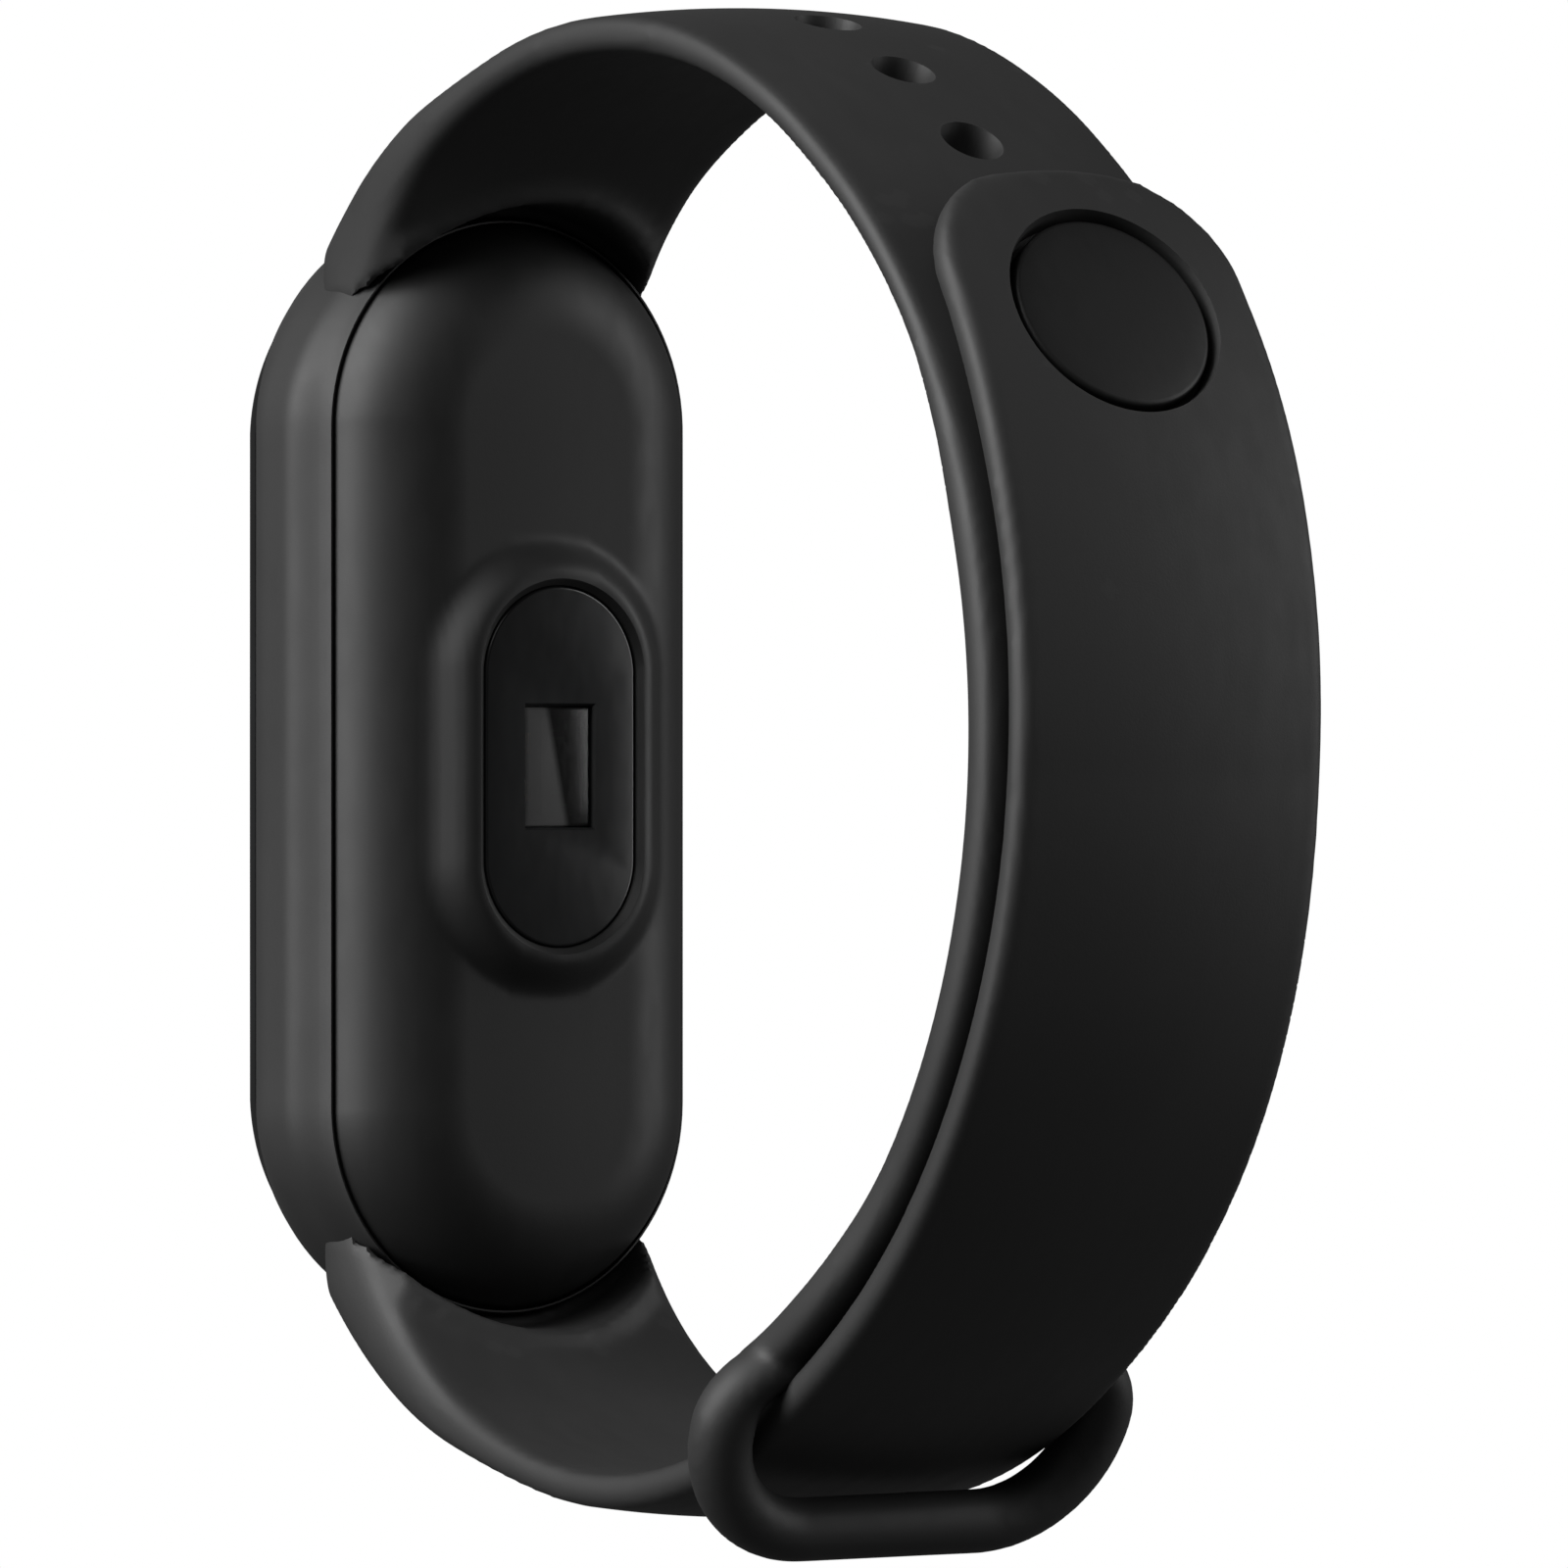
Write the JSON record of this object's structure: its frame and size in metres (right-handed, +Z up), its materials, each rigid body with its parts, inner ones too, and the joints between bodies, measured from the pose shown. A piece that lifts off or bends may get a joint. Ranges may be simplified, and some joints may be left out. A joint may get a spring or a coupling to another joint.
{
  "type": "fitness tracker band",
  "caption": "Closed wrist band: pill-shaped tracker in a rubber strap ring, with keeper loop, peg clasp and optical sensor window.",
  "frame": {"origin": "on the wrist's axis, at the band's mid-width and the tracker's mid-height", "axes": "+Y along the wrist, +Z up along the tracker's length, -X out through the tracker's display"},
  "size_m": [0.0585, 0.0212, 0.0644],
  "materials": {
    "strap_rubber": "matte",
    "button_plastic": "satin",
    "shell_plastic": "satin",
    "window_lens": "gloss",
    "black_gasket": "matte",
    "black_plastic": "matte",
    "chip_black": "satin",
    "contact_gold": "polished",
    "board_green": "satin",
    "steel": "brushed",
    "battery_foil": "satin",
    "display_black": "gloss",
    "front_glass": "gloss",
    "flex_amber": "satin"
  },
  "bodies": {
    "strap": {"strap_cradle": "strap_rubber", "strap_upper_arm": "strap_rubber", "strap_keeper_loop": "strap_rubber", "strap_lower_arm": "strap_rubber"},
    "tail": {"strap_tail": "strap_rubber", "clasp_button": "button_plastic"},
    "tracker": {"rear_shell": "shell_plastic", "sensor_window": "window_lens", "window_gasket": "black_gasket", "light_barrier": "black_plastic", "light_receiver": "chip_black", "upper_light_emitter": "contact_gold", "lower_light_emitter": "contact_gold", "sensor_board": "board_green", "main_board": "board_green", "radio_chip": "chip_black", "motion_sensor": "chip_black", "power_chip": "chip_black", "clock_crystal": "steel", "antenna": "contact_gold", "battery_foam_pad": "black_gasket", "battery": "battery_foil", "battery_protection_board": "board_green", "motor_base": "steel", "motor_shaft": "steel", "motor_can": "steel", "mid_frame": "black_plastic", "display_panel": "display_black", "touch_film": "display_black", "glass_gasket": "black_gasket", "front_glass": "front_glass", "display_flex": "flex_amber", "flex_connector": "chip_black", "sensor_flex": "flex_amber", "left_charging_contact": "contact_gold", "left_contact_seal": "black_gasket", "right_charging_contact": "contact_gold", "right_contact_seal": "black_gasket"},
    "motor_rotor": {"motor_weight": "steel"}
  },
  "joints": [
    {"name": "tracker_eject", "type": "slide", "parent": "strap", "child": "tracker", "axis": [-1, 0, 0], "range_m": [0, 0.014]},
    {"name": "tail_peel", "type": "hinge", "parent": "strap", "child": "tail", "pos_m": [0.02526, 0, -0.00431], "axis": [0, 1, 0], "range_deg": [0, 60], "stiffness_Nm_per_rad": 0.002},
    {"name": "motor_spin", "type": "hinge", "parent": "tracker", "child": "motor_rotor", "pos_m": [-0.02475, 0, 0.0162], "axis": [-1, 0, 0], "continuous": true}
  ]
}
